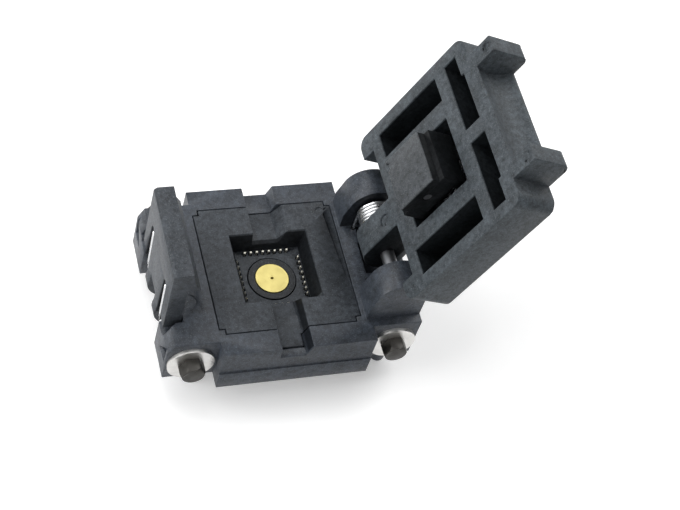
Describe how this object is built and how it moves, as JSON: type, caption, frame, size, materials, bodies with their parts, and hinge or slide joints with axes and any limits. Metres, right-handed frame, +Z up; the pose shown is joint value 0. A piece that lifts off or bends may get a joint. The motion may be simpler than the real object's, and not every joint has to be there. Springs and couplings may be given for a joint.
{
  "type": "clamshell test socket",
  "caption": "Clamshell test socket for a square leadless package: sprung hinged lid with floating pressure pad, side latch, floating nest plate and stamped contacts.",
  "frame": {"origin": "centre of the contact field on the circuit board's surface", "axes": "+X towards the lid's hinge, -X towards the latch, +Y to the side away from the pocket's front groove, +Z up out of the board"},
  "size_m": [0.035, 0.0207, 0.0349],
  "materials": {
    "black_plastic": "fine-grained glass-filled moulding, dark blue-grey",
    "bright_steel": "bright drawn wire and turned steel",
    "blackened_steel": "blackened steel",
    "gold_plate": "pale gold plating"
  },
  "bodies": {
    "base": {"base_body": "black_plastic", "nest_springs": "bright_steel", "contact_housing": "black_plastic", "lead_guide": "black_plastic", "contacts_front": "gold_plate", "contacts_back": "gold_plate", "contacts_latch_side": "gold_plate", "contacts_hinge_side": "gold_plate", "ground_spring": "bright_steel", "ground_pin": "gold_plate", "guide_screws": "blackened_steel", "hinge_pin": "blackened_steel", "spring_sleeve": "black_plastic", "lid_spring": "bright_steel", "latch_springs": "bright_steel", "latch_bolt": "blackened_steel", "rear_bolt": "blackened_steel", "end_washers": "bright_steel", "end_nuts": "blackened_steel"},
    "nest": {"nest_plate": "black_plastic"},
    "ground": {"ground_contact": "gold_plate"},
    "lid": {"lid_frame": "black_plastic", "pusher_spring": "bright_steel"},
    "stem": {"pusher_stem": "blackened_steel", "stem_clip": "bright_steel"},
    "pad": {"pusher_pad": "black_plastic", "pad_pin": "bright_steel"},
    "latch_arm": {"latch": "black_plastic"}
  },
  "joints": [
    {"name": "lid_hinge", "type": "hinge", "parent": "base", "child": "lid", "pos_m": [0.01107, 0, 0.0087], "axis": [0, -1, 0], "range_deg": [0, 112.7], "stiffness_Nm_per_rad": 0.0005, "springref_deg": -28.65, "deforming": ["lid_spring"]},
    {"name": "latch_hinge", "type": "hinge", "parent": "base", "child": "latch_arm", "pos_m": [-0.0103, 0, 0.0027], "axis": [0, -1, 0], "range_deg": [0, 12], "stiffness_Nm_per_rad": 0.0005, "springref_deg": -17.19, "deforming": ["latch_springs"]},
    {"name": "nest_float", "type": "slide", "parent": "base", "child": "nest", "axis": [0, 0, 1], "range_m": [-0.0003, 0], "stiffness_N_per_m": 60, "springref_m": 0.002, "deforming": ["nest_springs"]},
    {"name": "ground_float", "type": "slide", "parent": "base", "child": "ground", "axis": [0, 0, 1], "range_m": [-0.00025, 0], "stiffness_N_per_m": 10, "springref_m": 0.001, "deforming": ["ground_spring"]},
    {"name": "pusher_stroke", "type": "slide", "parent": "lid", "child": "stem", "axis": [0.9225, 0, -0.3859], "range_m": [0, 0.0011], "stiffness_N_per_m": 50, "springref_m": -0.001, "deforming": ["pusher_spring"]},
    {"name": "pad_tilt", "type": "hinge", "parent": "stem", "child": "pad", "pos_m": [0.01202, 0, 0.0203], "axis": [0, -1, 0], "range_deg": [-3, 3]}
  ],
  "couplings": [
    {"joint": "latch_hinge", "follows": "lid_hinge", "ratio": 0.1064}
  ]
}
